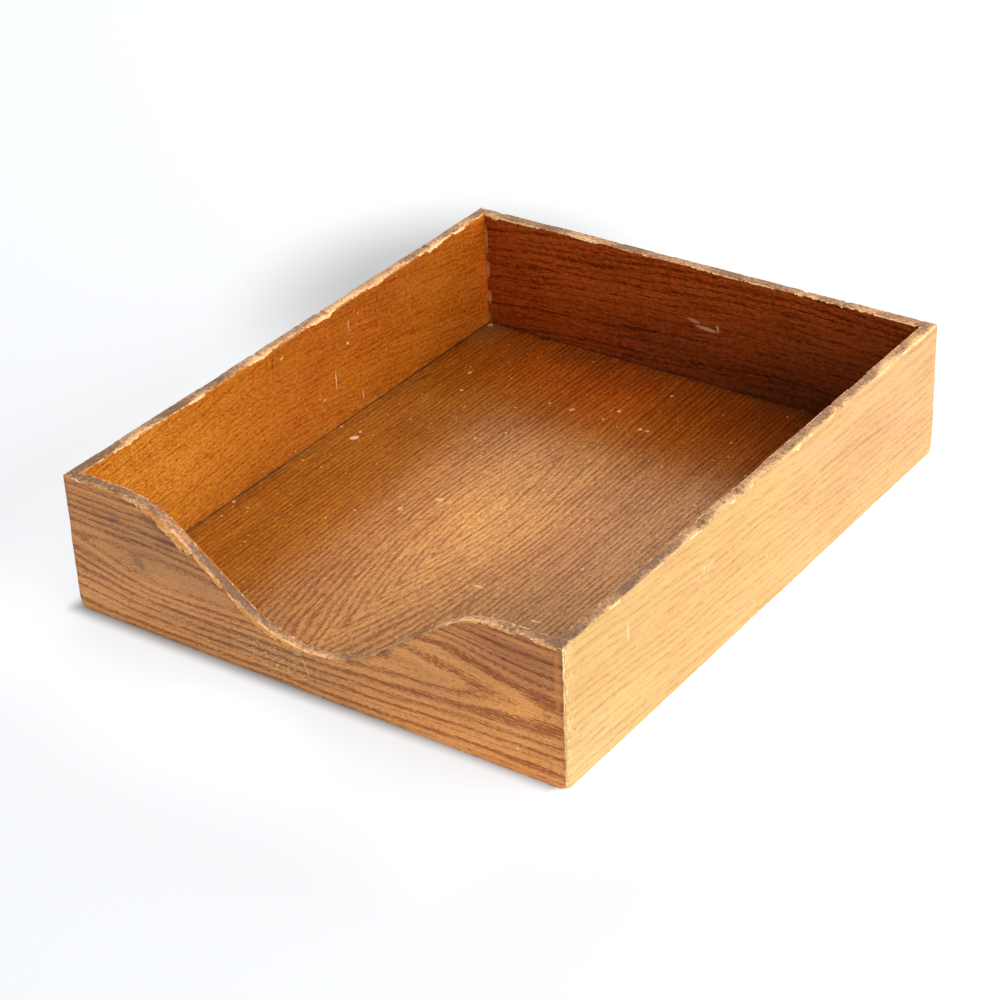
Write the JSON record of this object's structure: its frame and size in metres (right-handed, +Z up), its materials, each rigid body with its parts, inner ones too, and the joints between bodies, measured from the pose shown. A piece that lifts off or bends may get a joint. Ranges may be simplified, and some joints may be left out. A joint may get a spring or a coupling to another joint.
{
  "type": "letter tray",
  "caption": "Open-topped wooden desk tray for letter paper, with mitred plywood walls, a grooved-in bottom and a scooped front.",
  "frame": {"origin": "on the surface the tray stands on, under the middle of its outside box", "axes": "+X right along the scooped front wall seen from in front, +Y from the front to the back, +Z up out of the open top"},
  "size_m": [0.2604, 0.3174, 0.0683],
  "materials": {
    "outer_veneer": "worn clear varnish on oak veneer",
    "inner_veneer": "aged orange varnish on oak veneer",
    "bottom_veneer": "aged varnish on oak veneer, worn",
    "ply_core": "bare sawn plywood core, greyed with handling",
    "corner_spline": "bare hardwood"
  },
  "bodies": {
    "root": {"front_outer_veneer": "outer_veneer", "front_core": "ply_core", "front_inner_veneer": "inner_veneer", "front_foot_veneer": "inner_veneer", "right_outer_veneer": "outer_veneer", "right_core": "ply_core", "right_inner_veneer": "inner_veneer", "right_foot_veneer": "inner_veneer", "back_outer_veneer": "outer_veneer", "back_core": "ply_core", "back_inner_veneer": "inner_veneer", "back_foot_veneer": "inner_veneer", "left_outer_veneer": "outer_veneer", "left_core": "ply_core", "left_inner_veneer": "inner_veneer", "left_foot_veneer": "inner_veneer", "bottom_top_veneer": "bottom_veneer", "bottom_core": "ply_core", "bottom_under_veneer": "bottom_veneer", "front_left_spline": "corner_spline", "front_right_spline": "corner_spline", "back_right_spline": "corner_spline", "back_left_spline": "corner_spline"}
  },
  "joints": []
}
